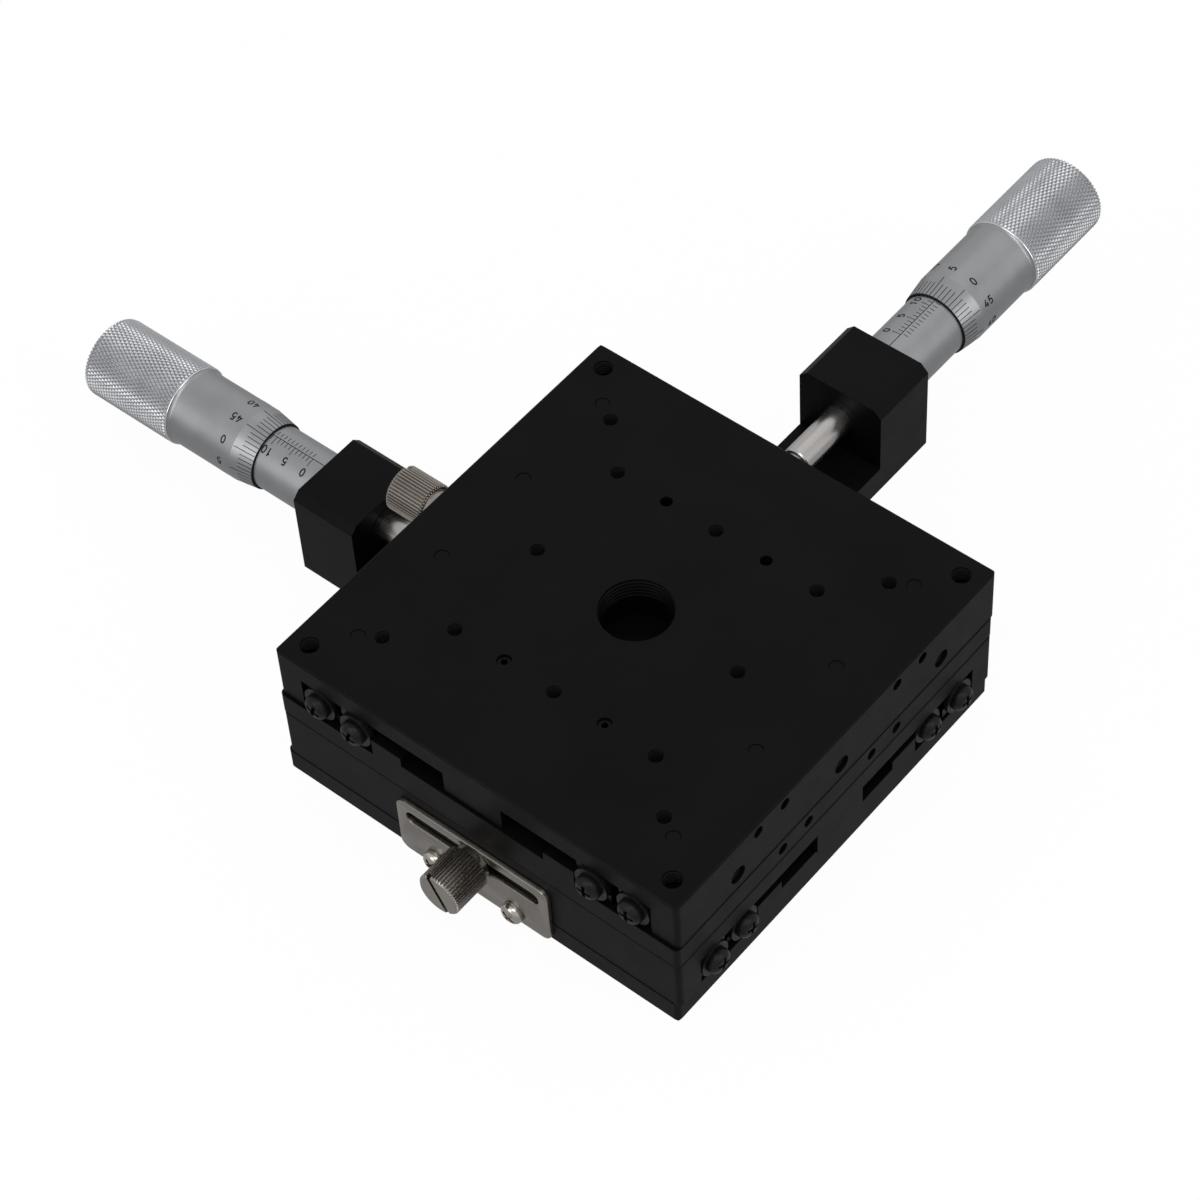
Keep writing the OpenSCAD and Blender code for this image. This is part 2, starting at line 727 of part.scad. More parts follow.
module x_outer_rail_screws() { color(dark_steel) on_x_table() outer_rail_screws(); }
module x_outer_stop_washers() { color(steel) on_x_table() outer_stop_washers(); }
module x_outer_stop_screws() { color(dark_steel) on_x_table() outer_stop_screws(); }
module x_preload_screws() { color(dark_steel) on_x_table() preload_screws(); }
module x_table_spring_posts() { color(steel) on_x_table() table_spring_posts(); }
module x_anvil() { color(steel) on_x_table() anvil(); }
module x_roller_cages() { color(brass) on_x_cages() roller_cages(); }
module x_rollers() { color(steel) on_x_cages() roller_places() roller(); }
module x_spindle() { color(satin_chrome) spindle(x_set, x_reading, x_edge); }
module x_thimble() { color(satin_chrome) thimble(x_edge); }
module x_grip() { color(satin_chrome) grip(x_edge); }
module x_thimble_cap() { color(satin_chrome) thimble_cap(x_edge); }
module x_lock_screw() { color(nickel) on_x_table() lock_screw(); }
module stage_bolts() { color(dark_steel) on_y_base() stage_bolts_set(); }

// Y stage
module y_base_plate() { color(anodised) on_y_base() base_plate(); }
module y_inner_rails() { color(steel) on_y_base() inner_rails(); }
module y_inner_rail_screws() { color(dark_steel) on_y_base() inner_rail_screws(); }
module y_inner_stop_washers() { color(steel) on_y_base() inner_stop_washers(); }
module y_inner_stop_screws() { color(dark_steel) on_y_base() inner_stop_screws(); }
module y_bracket() { color(anodised) on_y_base() bracket(); }
module y_bracket_screws() { color(dark_steel) on_y_base() bracket_screws(); }
module y_sleeve() { color(satin_chrome) on_y_base() sleeve(); }
module y_sleeve_set_screw() { color(dark_steel) on_y_base() sleeve_set_screw(); }
module y_lock_plate() { color(nickel) on_y_base() lock_plate(); }
module y_lock_plate_screws() { color(nickel) on_y_base() lock_plate_screws(); }
module y_base_spring_pins() { color(steel) on_y_base() base_spring_pins(); }
module y_springs() { color(steel) on_y_base() springs(-y_set); }
module y_table_plate() { color(anodised) on_y_table() table_plate(); }
module y_outer_rails() { color(steel) on_y_table() outer_rails(); }
module y_outer_rail_screws() { color(dark_steel) on_y_table() outer_rail_screws(); }
module y_outer_stop_washers() { color(steel) on_y_table() outer_stop_washers(); }
module y_outer_stop_screws() { color(dark_steel) on_y_table() outer_stop_screws(); }
module y_preload_screws() { color(dark_steel) on_y_table() preload_screws(); }
module y_table_spring_posts() { color(steel) on_y_table() table_spring_posts(); }
module y_anvil() { color(steel) on_y_table() anvil(); }
module y_roller_cages() { color(brass) on_y_cages() roller_cages(); }
module y_rollers() { color(steel) on_y_cages() roller_places() roller(); }
module y_spindle() { color(satin_chrome) on_y_base() spindle(-y_set, y_reading, y_edge); }
module y_thimble() { color(satin_chrome) on_y_base() thimble(y_edge); }
module y_grip() { color(satin_chrome) on_y_base() grip(y_edge); }
module y_thimble_cap() { color(satin_chrome) on_y_base() thimble_cap(y_edge); }
module y_lock_screw() { color(nickel) on_y_table() lock_screw(); }

x_base_plate();
x_inner_rails();
x_inner_rail_screws();
x_inner_stop_washers();
x_inner_stop_screws();
x_bracket();
x_bracket_screws();
x_sleeve();
x_sleeve_set_screw();
x_lock_plate();
x_lock_plate_screws();
x_base_spring_pins();
x_springs();
x_table_plate();
x_outer_rails();
x_outer_rail_screws();
x_outer_stop_washers();
x_outer_stop_screws();
x_preload_screws();
x_table_spring_posts();
x_anvil();
x_roller_cages();
x_rollers();
x_spindle();
x_thimble();
x_grip();
x_thimble_cap();
x_lock_screw();
stage_bolts();
y_base_plate();
y_inner_rails();
y_inner_rail_screws();
y_inner_stop_washers();
y_inner_stop_screws();
y_bracket();
y_bracket_screws();
y_sleeve();
y_sleeve_set_screw();
y_lock_plate();
y_lock_plate_screws();
y_base_spring_pins();
y_springs();
y_table_plate();
y_outer_rails();
y_outer_rail_screws();
y_outer_stop_washers();
y_outer_stop_screws();
y_preload_screws();
y_table_spring_posts();
y_anvil();
y_roller_cages();
y_rollers();
y_spindle();
y_thimble();
y_grip();
y_thimble_cap();
y_lock_screw();
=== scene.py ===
import math

import bmesh
import bpy
from mathutils import Matrix, Vector
from mathutils.geometry import tessellate_polygon


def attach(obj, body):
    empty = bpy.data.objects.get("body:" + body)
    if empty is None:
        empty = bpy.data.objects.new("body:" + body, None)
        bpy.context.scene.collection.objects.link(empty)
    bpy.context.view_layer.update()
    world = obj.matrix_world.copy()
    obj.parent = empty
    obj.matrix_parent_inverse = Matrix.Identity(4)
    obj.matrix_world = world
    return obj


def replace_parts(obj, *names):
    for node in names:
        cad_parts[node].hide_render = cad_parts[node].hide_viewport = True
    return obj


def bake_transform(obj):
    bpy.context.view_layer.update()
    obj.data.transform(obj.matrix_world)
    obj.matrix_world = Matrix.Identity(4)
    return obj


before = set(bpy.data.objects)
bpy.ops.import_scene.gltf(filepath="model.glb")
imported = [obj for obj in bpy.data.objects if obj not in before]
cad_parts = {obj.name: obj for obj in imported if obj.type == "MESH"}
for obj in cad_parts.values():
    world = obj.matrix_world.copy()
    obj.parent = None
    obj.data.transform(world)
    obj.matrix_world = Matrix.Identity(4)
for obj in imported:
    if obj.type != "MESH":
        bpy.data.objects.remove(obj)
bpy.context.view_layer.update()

# Stages, in millimetres as in part.scad
STAGE_H = 19
HALF_W = 50
X_SET = 0.6
Y_SET = 0.55
RAIL_Z = 9.8
INNER_RAIL_Y = 29.44
OUTER_RAIL_Y = 39.14

# Micrometer heads: sizes, and places along the axis from the middle of the stage
HEAD_Z = 15.7
BLOCK_BACK = 66
BLOCK_FACE = 82
TRAVEL = 25
SPINDLE_TIP = 50.65
SPINDLE_STEP = 86
SPINDLE_R = 3.175
SPINDLE_THICK_R = 4
JOURNAL_R = 2.5
SLEEVE_R = 7.25
EDGE_R = 7.7
THIMBLE_R = 8.55
THIMBLE_BORE_R = 7.4
SEAT_R = 8.2
GRIP_R = 9.15
CAP_R = 6.02

# Micrometer heads: places along the axis from the thimble's edge
TAPER = 5.6
PLAIN = 22.5
FLARE = 1.1
GRIP_START = 23.6
JOURNAL_START = 31.2
JOURNAL_END = 44.4
GRIP_END = 47.8
CAP_DEPTH = 2.4
END_WALL = 2.2

# Zero mark, thimble edge, and the thimble's line at the sleeve's line, for each head
HEADS = {"x": (85.6, 97.04, 43.3), "y": (86.4, 98.43, 3.3)}

# Lock plates: length, height, thickness, lower edge, corners, slot and screw holes
LOCK_Z = 12.2
PLATE_L = 38.4
PLATE_H = 15.7
PLATE_T = 1
PLATE_Z = 0.5
PLATE_R = 2.2
SLOT_L = 33.6
SLOT_H = 3.3
PLATE_HOLES = 10
PLATE_HOLE_Z = 3
PLATE_HOLE_R = 1.45

# Return springs
SPRING_Y = 12.51
SPRING_Z = 11.1
SPRING_ENDS = 25
WIRE_R = 0.3
COIL_R = 1.9

# Half spacings of the holes in a table's top
CORNER_HOLES = 45
INNER_HOLES = 35
GRID_HOLES = 25

# Steps of a full turn in the larger turned pieces
TURN_STEPS = 128


def move(x, y, z):
    return Matrix.Translation((x, y, z))


# Frames of the two stages, from millimetres to metres; the Y stage is the X stage turned
QUARTER = Matrix.Rotation(math.radians(-90), 4, "Z")
X_BASE = Matrix.Scale(0.001, 4)
X_TABLE = X_BASE @ move(X_SET, 0, 0)
Y_BASE = X_BASE @ move(X_SET, 0, STAGE_H) @ QUARTER
Y_TABLE = X_BASE @ move(X_SET, Y_SET, STAGE_H) @ QUARTER

# A head's frame: towards the numerals, up, and outwards along its axis
HEAD = Matrix(((0, 0, -1, 0), (-1, 0, 0, 0), (0, 1, 0, HEAD_Z), (0, 0, 0, 1)))


def lock_side(out, up):
    """A frame on the side with the lock plate: along the side, up, and outwards."""
    return Matrix(((1, 0, 0, 0), (0, 0, -1, -HALF_W - out), (0, 1, 0, up), (0, 0, 0, 1)))


def circle(x, y, r, count):
    """Points of a round outline."""
    turn = [2 * math.pi * k / count for k in range(count)]
    return [(x + r * math.cos(a), y + r * math.sin(a)) for a in turn]


# Materials
def socket(shader, name, value):
    shader.inputs[name].default_value = value


class Finish:
    """A node material under construction."""

    def __init__(self, name, **values):
        self.material = bpy.data.materials.new(name)
        self.material.use_nodes = True
        self.tree = self.material.node_tree
        self.shader = self.tree.nodes["Principled BSDF"]
        self.place = self.tree.nodes.new("ShaderNodeTexCoord").outputs["Object"]
        for key, value in values.items():
            socket(self.shader, key.replace("_", " "), value)

    def link(self, out, into):
        self.tree.links.new(out, into)

    def noise(self, scale, detail=3.0, rough=0.55, stretch=(1, 1, 1)):
        spread = self.tree.nodes.new("ShaderNodeMapping")
        socket(spread, "Scale", stretch)
        self.link(self.place, spread.inputs["Vector"])
        node = self.tree.nodes.new("ShaderNodeTexNoise")
        socket(node, "Scale", scale)
        socket(node, "Detail", detail)
        socket(node, "Roughness", rough)
        self.link(spread.outputs["Vector"], node.inputs["Vector"])
        return node.outputs["Fac"]

    def spots(self, scale):
        node = self.tree.nodes.new("ShaderNodeTexVoronoi")
        socket(node, "Scale", scale)
        self.link(self.place, node.inputs["Vector"])
        return node.outputs["Distance"]

    def colour(self, factor, *stops):
        """Base colour from a factor, with a colour at each stop."""
        node = self.tree.nodes.new("ShaderNodeValToRGB")
        for element, (at, colour) in zip(node.color_ramp.elements, stops):
            element.position = at
            element.color = (*colour, 1)
        self.link(factor, node.inputs["Fac"])
        self.link(node.outputs["Color"], self.shader.inputs["Base Color"])

    def roughness(self, factor, low, high):
        """Roughness from low to high over the middle of a factor's range."""
        node = self.tree.nodes.new("ShaderNodeMapRange")
        socket(node, "From Min", 0.3)
        socket(node, "From Max", 0.7)
        socket(node, "To Min", low)
        socket(node, "To Max", high)
        self.link(factor, node.inputs["Value"])
        self.link(node.outputs["Result"], self.shader.inputs["Roughness"])

    def rounded(self, radius):
        """Normals that round sharp edges off by a small radius."""
        node = self.tree.nodes.new("ShaderNodeBevel")
        node.samples = 6
        socket(node, "Radius", radius)
        return node.outputs["Normal"]

    def bump(self, height, strength, distance, under=None):
        node = self.tree.nodes.new("ShaderNodeBump")
        socket(node, "Strength", strength)
        socket(node, "Distance", distance)
        self.link(height, node.inputs["Height"])
        if under:
            self.link(under, node.inputs["Normal"])
        self.link(node.outputs["Normal"], self.shader.inputs["Normal"])
        return node.outputs["Normal"]


def anodised(name, low, high):
    """Satin black anodised aluminium: fine matt grain and small spots over faint clouds."""
    f = Finish(name, Specular_IOR_Level=0.08)
    f.colour(f.noise(45, detail=4), (0.3, low), (0.7, high))
    f.roughness(f.noise(160, detail=5), 0.41, 0.47)
    spots = f.bump(f.spots(3400), 0.1, 0.00001, under=f.rounded(0.00022))
    f.bump(f.noise(5200, detail=2), 0.16, 0.00002, under=spots)
    return f.material


def turned(name, axis, base, rough, strength):
    """A turned metal surface: fine rings around the axis, and faint handling marks."""
    f = Finish(name, Metallic=1.0)
    along = [0.02, 0.02, 0.02]
    along[axis] = 1
    smear = f.noise(120, detail=4)
    f.colour(smear, (0.3, tuple(0.9 * c for c in base)), (0.7, base))
    f.roughness(smear, rough, rough + 0.09)
    grain = f.bump(f.noise(7000, detail=2), 0.05, 0.00001)
    f.bump(f.noise(16000, detail=2, rough=0.6, stretch=along), strength, 0.00001, under=grain)
    return f.material


def plated(name, base, low, high, stretch=(1, 1, 1)):
    """Plated or ground metal: brushed along one way, with a slight change of tone."""
    f = Finish(name, Metallic=1.0)
    grain = f.noise(2600, detail=3, rough=0.6, stretch=stretch)
    f.colour(f.noise(150, detail=4), (0.25, tuple(0.8 * c for c in base)), (0.75, base))
    f.roughness(grain, low, high)
    f.bump(grain, 0.14, 0.00002, under=f.rounded(0.0001))
    return f.material


def oxide(name):
    """Black oxide on steel screws, rubbed paler here and there."""
    f = Finish(name, Specular_IOR_Level=0.2)
    f.colour(f.noise(700, detail=4), (0.35, (0.003, 0.003, 0.0034)), (0.75, (0.009, 0.009, 0.01)))
    f.roughness(f.noise(1500, detail=3), 0.32, 0.48)
    f.bump(f.noise(5000, detail=2), 0.12, 0.00002, under=f.rounded(0.00012))
    return f.material


def ink(name):
    """Paint in the engraved lines and numerals, and the painted shade ring at the thimble's edge."""
    f = Finish(name, Specular_IOR_Level=0.1)
    f.colour(f.noise(2500, detail=3), (0.3, (0.006, 0.006, 0.007)), (0.8, (0.018, 0.018, 0.02)))
    f.roughness(f.noise(4000, detail=2), 0.5, 0.7)
    return f.material


# Colours of the metals that more than one material has
CHROME = (0.36, 0.37, 0.38)
POLISHED = (0.52, 0.5, 0.485)
PLATE_NICKEL = (0.34, 0.315, 0.29)

BLACK = anodised("black_anodised_satin", (0.0016, 0.0016, 0.0018), (0.003, 0.003, 0.0032))
CHROME_X = turned("satin_chrome_x", 0, CHROME, rough=0.33, strength=0.16)
CHROME_Y = turned("satin_chrome_y", 1, CHROME, rough=0.33, strength=0.16)
KNURLED = plated("knurled_chrome", (0.5, 0.51, 0.53), 0.2, 0.3)
NICKEL = plated("nickel_plate", (0.36, 0.33, 0.3), 0.2, 0.3)
PLATE_X = plated("nickel_lock_plate_x", PLATE_NICKEL, 0.24, 0.34, stretch=(0.12, 1, 1))
PLATE_Y = plated("nickel_lock_plate_y", PLATE_NICKEL, 0.24, 0.34, stretch=(1, 0.12, 1))
STEEL = plated("ground_steel", (0.5, 0.5, 0.51), 0.22, 0.34, stretch=(0.1, 0.1, 1))
BRIGHT_NICKEL = plated("nickel_screw", (0.55, 0.52, 0.49), 0.14, 0.24)
# Far paler than the chrome around it: a painted highlight on the chamfered ring at the knurl's start.
EDGE_HIGHLIGHT_METAL = plated("painted_highlight_edge", (0.75, 0.76, 0.78), 0.12, 0.2)
SPINDLE_X = turned("polished_spindle_x", 0, POLISHED, rough=0.2, strength=0.04)
SPINDLE_Y = turned("polished_spindle_y", 1, POLISHED, rough=0.2, strength=0.04)
# Near-black steel: painted shade on the spring posts down in their recesses; the rails are made near black
# with it too.
DARK_STEEL_AND_SHADE = plated("near_black_steel_and_painted_shade", (0.012, 0.012, 0.013), 0.3, 0.44)
BRASS = plated("brass_sheet", (0.6, 0.42, 0.18), 0.3, 0.4)
OXIDE = oxide("black_oxide_steel")
# Engraving ink, also used as painted shade on the thimble's edge.
INK_AND_SHADE = ink("engraving_ink_and_painted_shade")

# Finish of the carried-over nodes, by the record's slot and then by the end of the node's name
SLOTS = {
    "black_anodised": BLACK,
    "nickel": NICKEL,
    "ground_steel": STEEL,
    "dark_steel": OXIDE,
    "brass_cage": BRASS,
}
ENDINGS = {
    "stop_washers": OXIDE,
    # The spring posts are near black to paint the shade in their recesses.
    "spring_posts": DARK_STEEL_AND_SHADE,
    "outer_rail_screws": BLACK,
    "_rails": DARK_STEEL_AND_SHADE,
}
for name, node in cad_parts.items():
    for entry in node.material_slots:
        given = entry.material.name.split(".")[0]
        entry.link = "DATA"
        entry.material = SLOTS.get(given) or (CHROME_X if name.startswith("x_") else CHROME_Y)
        for ending, finish in ENDINGS.items():
            if name.endswith(ending):
                entry.material = finish


# Building pieces
def piece(name, matrix, solid, material, body, smooth=0):
    """One object from a Solid; edges flatter than smooth, in degrees, are shaded round."""
    mesh = bpy.data.meshes.new(name)
    mesh.from_pydata([matrix @ Vector(v) for v in solid.vertices], [], solid.faces)
    mesh.validate()
    work = bmesh.new()
    work.from_mesh(mesh)
    bmesh.ops.recalc_face_normals(work, faces=work.faces)
    work.to_mesh(mesh)
    work.free()
    if smooth:
        mesh.shade_smooth()
        mesh.set_sharp_from_angle(angle=math.radians(smooth))
    mesh.materials.append(material)
    obj = bpy.data.objects.new(name, mesh)
    bpy.context.scene.collection.objects.link(obj)
    if body:
        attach(obj, body)
    return obj


class Solid:
    """Vertices and faces that grow into one piece."""

    def __init__(self):
        self.vertices = []
        self.faces = []

    def ring(self, points):
        start = len(self.vertices)
        self.vertices += points
        return list(range(start, start + len(points)))

    def bridge(self, a, b):
        """Faces between two rings of the same count."""
        for i in range(len(a)):
            j = (i + 1) % len(a)
            self.faces.append((a[i], a[j], b[j], b[i]))

    def cone(self, tip, rim):
        """Faces between one point and a ring."""
        count = len(rim)
        self.faces += [(tip, rim[k], rim[(k + 1) % count]) for k in range(count)]

    def join(self, a, b):
        """Faces between two rings, of which one may be a single point."""
        if len(a) == 1:
            self.cone(a[0], b)
        elif len(b) == 1:
            self.cone(b[0], a)
        else:
            self.bridge(a, b)

    def cap(self, first, last):
        """Flat ends on the first and last ring."""
        self.faces += [tuple(reversed(first)), tuple(last)]

    def slab(self, top, bottom, faces):
        """A thin closed solid: faces of the top outline, the same below, and walls around them."""
        start = self.ring(top)[0]
        below = self.ring(bottom)[0]
        edges = {}
        for face in faces:
            self.faces.append(tuple(start + i for i in face))
            self.faces.append(tuple(below + i for i in reversed(face)))
            edges.update(dict.fromkeys(zip(face, face[1:] + face[:1])))
        for a, b in edges:
            if (b, a) not in edges:
                self.faces.append((start + a, below + a, below + b, start + b))


# Stroke shapes of the numerals: centre lines in a cell 0.6 wide and 1 high
def arc(cx, cy, rx, ry, start, end, steps=12):
    turn = [math.radians(start + (end - start) * i / steps) for i in range(steps + 1)]
    return [(cx + rx * math.cos(a), cy + ry * math.sin(a)) for a in turn]


GLYPHS = {
    "0": [arc(0.3, 0.5, 0.23, 0.44, 0, 360, 28)],
    "1": [[(0.14, 0.74), (0.34, 0.94), (0.34, 0.06)]],
    "2": [arc(0.3, 0.7, 0.22, 0.24, 170, -35) + [(0.07, 0.06), (0.54, 0.06)]],
    "3": [arc(0.28, 0.72, 0.21, 0.22, 150, -90), arc(0.28, 0.28, 0.24, 0.22, 90, -150)],
    "4": [[(0.36, 0.94), (0.05, 0.3), (0.57, 0.3)], [(0.42, 0.56), (0.42, 0.06)]],
    "5": [[(0.5, 0.94), (0.16, 0.94), (0.11, 0.53)] + arc(0.29, 0.34, 0.23, 0.28, 130, -140, 14)],
}

# Half a stroke's width, a cell's width and its left margin, as shares of a numeral's height
STROKE = 0.08
CELL = 0.74
MARGIN = 0.07

# Height of the numerals, steps along numerals and marks, and how far both stand out and reach in
NUMERAL_H = 1.9
FINE_STEP = 0.3
MARK_STEP = 0.35
PROUD = 0.02
SUNK = 0.05


def ribbon(line, half):
    """The two edges of a stroke along a centre line, with its corners mitred."""
    left, right = [], []
    last = len(line) - 1
    closed = math.dist(line[0], line[-1]) < 1e-6
    for i, (x, y) in enumerate(line):
        before = line[i - 1] if i else (line[-2] if closed else None)
        after = line[i + 1] if i < last else (line[1] if closed else None)
        one = Vector((x - before[0], y - before[1])).normalized() if before else None
        two = Vector((after[0] - x, after[1] - y)).normalized() if after else None
        along = ((one or two) + (two or one)).normalized()
        side = Vector((-along.y, along.x))
        reach = half / max(0.35, side.dot(Vector((-(one or two).y, (one or two).x))))
        left.append((x + side.x * reach, y + side.y * reach))
        right.append((x - side.x * reach, y - side.y * reach))
    return left, right


def fine(line, step):
    """The same line with more points, so that it can follow a curved surface."""
    out = [line[0]]
    for a, b in zip(line, line[1:]):
        parts = max(1, math.ceil(math.dist(a, b) / step))
        for i in range(1, parts + 1):
            out.append((a[0] + (b[0] - a[0]) * i / parts, a[1] + (b[1] - a[1]) * i / parts))
    return out


class Scale:
    """Engraved marks and numerals on a round surface of radius radius(w), in a head's frame."""

    def __init__(self, radius):
        self.solid = Solid()
        self.radius = radius

    def at(self, w, angle, across, height):
        r = self.radius(w) + height
        a = angle + across / self.radius(w)
        return (r * math.sin(a), r * math.cos(a), w)

    def strip(self, left, right, angle):
        count = len(left)
        points = left + right
        faces = [(i, i + 1, count + i + 1, count + i) for i in range(count - 1)]
        top = [self.at(w, angle, across, PROUD) for w, across in points]
        bottom = [self.at(w, angle, across, -SUNK) for w, across in points]
        self.solid.slab(top, bottom, faces)

    def line(self, angle, start, end, width):
        """A mark from (w, across) to (w, across)."""
        self.strip(*ribbon(fine([start, end], MARK_STEP), width / 2), angle)

    def text(self, digits, angle, w, across):
        """Numerals that run outwards, their middle at w and their feet at across."""
        height = NUMERAL_H
        cell = CELL * height
        start = w - cell * len(digits) / 2 + MARGIN * height
        for place, digit in enumerate(digits):
            for stroke in GLYPHS[digit]:
                line = [(start + place * cell + x * height, across + y * height) for x, y in stroke]
                self.strip(*ribbon(fine(line, FINE_STEP), STROKE * height), angle)

    def finish(self, name, matrix, body):
        return piece(name, matrix, self.solid, INK_AND_SHADE, body)


def sleeve_scale(name, matrix, body, zero):
    """A line along the sleeve, a mark each millimetre, and half millimetres on its other side."""
    line_width, mark_width = 0.16, 0.14
    mark, long_mark = 1.25, 2.1
    half_mark = (-0.45, -1.55)
    feet = 2.75
    scale = Scale(lambda w: SLEEVE_R)
    scale.line(0, (BLOCK_FACE + 0.1, 0), (zero + TRAVEL + 1, 0), line_width)
    for mm in range(TRAVEL + 1):
        w = zero + mm
        numbered = mm % 5 == 0
        scale.line(0, (w, 0), (w, long_mark if numbered else mark), mark_width)
        if mm < TRAVEL:
            scale.line(0, (w + 0.5, half_mark[0]), (w + 0.5, half_mark[1]), mark_width)
        if numbered:
            scale.text(str(mm), 0, w, feet)
    return scale.finish(name, matrix @ HEAD, body)


def thimble_scale(name, matrix, body, edge, at_line):
    """Fifty divisions around the taper, with a numeral at every fifth on the plain part."""
    divisions = 50
    division = 360 / divisions
    mark_from, mark, long_mark = 0.12, 3.6, 5.4
    mark_width = 0.15
    numerals, feet = 8.4, -0.95
    scale = Scale(lambda w: min(THIMBLE_R, EDGE_R + (THIMBLE_R - EDGE_R) * (w - edge) / TAPER))
    for k in range(divisions):
        angle = math.radians((k - at_line) * division)
        numbered = k % 5 == 0
        mark_to = long_mark if numbered else mark
        scale.line(angle, (edge + mark_from, 0), (edge + mark_to, 0), mark_width)
        if numbered:
            scale.text(str(k), angle, edge + numerals, feet)
    return scale.finish(name, matrix @ HEAD, body)


def knurled_grip(name, matrix, body, node, edge_w):
    """Diamond knurl cut by two sets of crossing grooves, with flat tips, on a rounded sleeve."""
    around, rows = 124, 30
    depth, tip = 0.3, 0.27
    end_round = 1.5
    lead, lead_drop = 0.4, 0.25
    fade_end, fade_start = 0.6, 0.3
    cap_bevel, cap_bevel_l = 0.33, 0.12
    bore = SEAT_R + 0.02
    start = edge_w + GRIP_START
    length = GRIP_END - GRIP_START
    end = start + length
    solid = Solid()

    def outer(w):
        """Radius of the tips at a distance along the grip."""
        inside = max(0, end_round - (length - w))
        drop = end_round - math.sqrt(end_round**2 - inside**2)
        return GRIP_R - drop - lead_drop * max(0, 1 - w / lead)

    def point(i, j, low):
        w = min(length, max(0, length * j / rows))
        fade = min(1, (length - w) / fade_end, w / fade_start)
        r = outer(w) - (depth * fade if low else 0)
        a = 2 * math.pi * i / around
        return (r * math.sin(a), r * math.cos(a), start + w)

    places = [(i, j) for j in range(rows + 1) for i in range(around)]
    valley = {(i, j): solid.ring([point(i, j, True)])[0] for i, j in places if (i + j) % 2 == 0}
    edge = {0: [], rows: []}
    for i, j in places:
        if (i, j) in valley:
            continue
        left, right = valley[(i - 1) % around, j], valley[(i + 1) % around, j]
        corners = [point(i - tip, j, False), point(i + tip, j, False)]
        if 0 < j < rows:
            corners += [point(i, j - tip, False), point(i, j + tip, False)]
            a, b, c, d = solid.ring(corners)
            down, up = valley[i, j - 1], valley[i, j + 1]
            solid.faces += [(a, c, b, d), (left, down, c, a), (down, right, b, c)]
            solid.faces += [(right, up, d, b), (up, left, a, d)]
        else:
            inwards = 1 if j == 0 else -1
            corners.append(point(i, j + tip * inwards, False))
            a, b, c = solid.ring(corners)
            far = valley[i, j + inwards]
            solid.faces += [(a, b, c), (left, a, c, far), (far, c, b, right)]
            edge[j] += [left, a, b]

    def rim(w, r, loop):
        """A ring of the same count as a knurled edge."""
        angles = [math.atan2(solid.vertices[v][0], solid.vertices[v][1]) for v in loop]
        return solid.ring([(r * math.sin(a), r * math.cos(a), w) for a in angles])

    def walls(loop, *rims):
        """Walls from a ring through round rims; gives the last rim."""
        for w, r in rims:
            inner = rim(w, r, loop)
            solid.bridge(loop, inner)
            loop = inner
        return loop

    floor_w = end - CAP_DEPTH
    recess = walls(edge[rows], (end, CAP_R + cap_bevel), (end - cap_bevel_l, CAP_R), (floor_w, CAP_R))
    walls(edge[0], (start, bore), (floor_w, bore))
    walls(recess, (floor_w, bore))
    obj = piece(name, matrix @ HEAD, solid, KNURLED, body)
    work = bmesh.new()
    work.from_mesh(obj.data)
    bmesh.ops.remove_doubles(work, verts=work.verts, dist=1e-7)
    bmesh.ops.recalc_face_normals(work, faces=work.faces)
    work.to_mesh(obj.data)
    work.free()
    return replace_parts(obj, node)


def revolve(solid, outline, count, matrix=Matrix(), closed=False):
    """Turns an outline of (w, r) points, which goes from axis to axis or all the way round."""
    turn = [2 * math.pi * k / count for k in range(count)]
    rings = []
    for w, r in outline:
        points = [Vector((r * math.sin(a), r * math.cos(a), w)) for a in (turn if r else [0])]
        rings.append(solid.ring([tuple(matrix @ point) for point in points]))
    for one, two in zip(rings, rings[1:] + (rings[:1] if closed else [])):
        solid.join(one, two)


def lathe(name, matrix, body, outline, material, smooth, closed=False):
    """A turned piece around a head's axis."""
    solid = Solid()
    revolve(solid, outline, TURN_STEPS, closed=closed)
    return piece(name, matrix, solid, material, body, smooth)


def turned_thimble(name, matrix, body, node, edge, material):
    """Thimble with a graduated taper, and a hollow curve up to the grip."""
    steps = 8
    rise = GRIP_R - THIMBLE_R
    wall = GRIP_END - CAP_DEPTH
    hole = JOURNAL_R + 0.05
    outline = [(0, THIMBLE_BORE_R), (0, EDGE_R), (TAPER, THIMBLE_R)]
    outline += [(PLAIN + FLARE * k / steps, THIMBLE_R + rise * (k / steps) ** 2) for k in range(steps + 1)]
    outline += [(GRIP_START, SEAT_R), (wall, SEAT_R), (wall, hole)]
    outline += [(wall - END_WALL, hole), (wall - END_WALL, THIMBLE_BORE_R)]
    placed = [(edge + w, r) for w, r in outline]
    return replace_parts(lathe(name, matrix, body, placed, material, 6, True), node)


def spindle(name, matrix, body, node, tip, step, edge, material):
    """Non-rotating spindle: a rounded tip, the polished rod, a thicker part and a journal."""
    outline = [(tip, 0), (tip, 2.7), (tip + 0.15, 2.98), (tip + 0.5, SPINDLE_R), (step, SPINDLE_R)]
    outline += [(step, SPINDLE_THICK_R), (edge + JOURNAL_START, SPINDLE_THICK_R)]
    outline += [(edge + JOURNAL_START, JOURNAL_R), (edge + JOURNAL_END, JOURNAL_R), (edge + JOURNAL_END, 0)]
    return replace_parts(lathe(name, matrix, body, outline, material, 25), node)


def rounded_box(length, height, radius, inset, steps):
    """Outline of a rectangle with rounded corners, set in by a distance."""
    r = radius - inset
    across, up = length / 2 - radius, height / 2 - radius
    points = []
    for k, (cx, cy) in enumerate(((1, 1), (-1, 1), (-1, -1), (1, -1))):
        for i in range(steps + 1):
            a = math.radians(90 * (k + i / steps))
            points.append((cx * across + r * math.cos(a), cy * up + r * math.sin(a)))
    return points


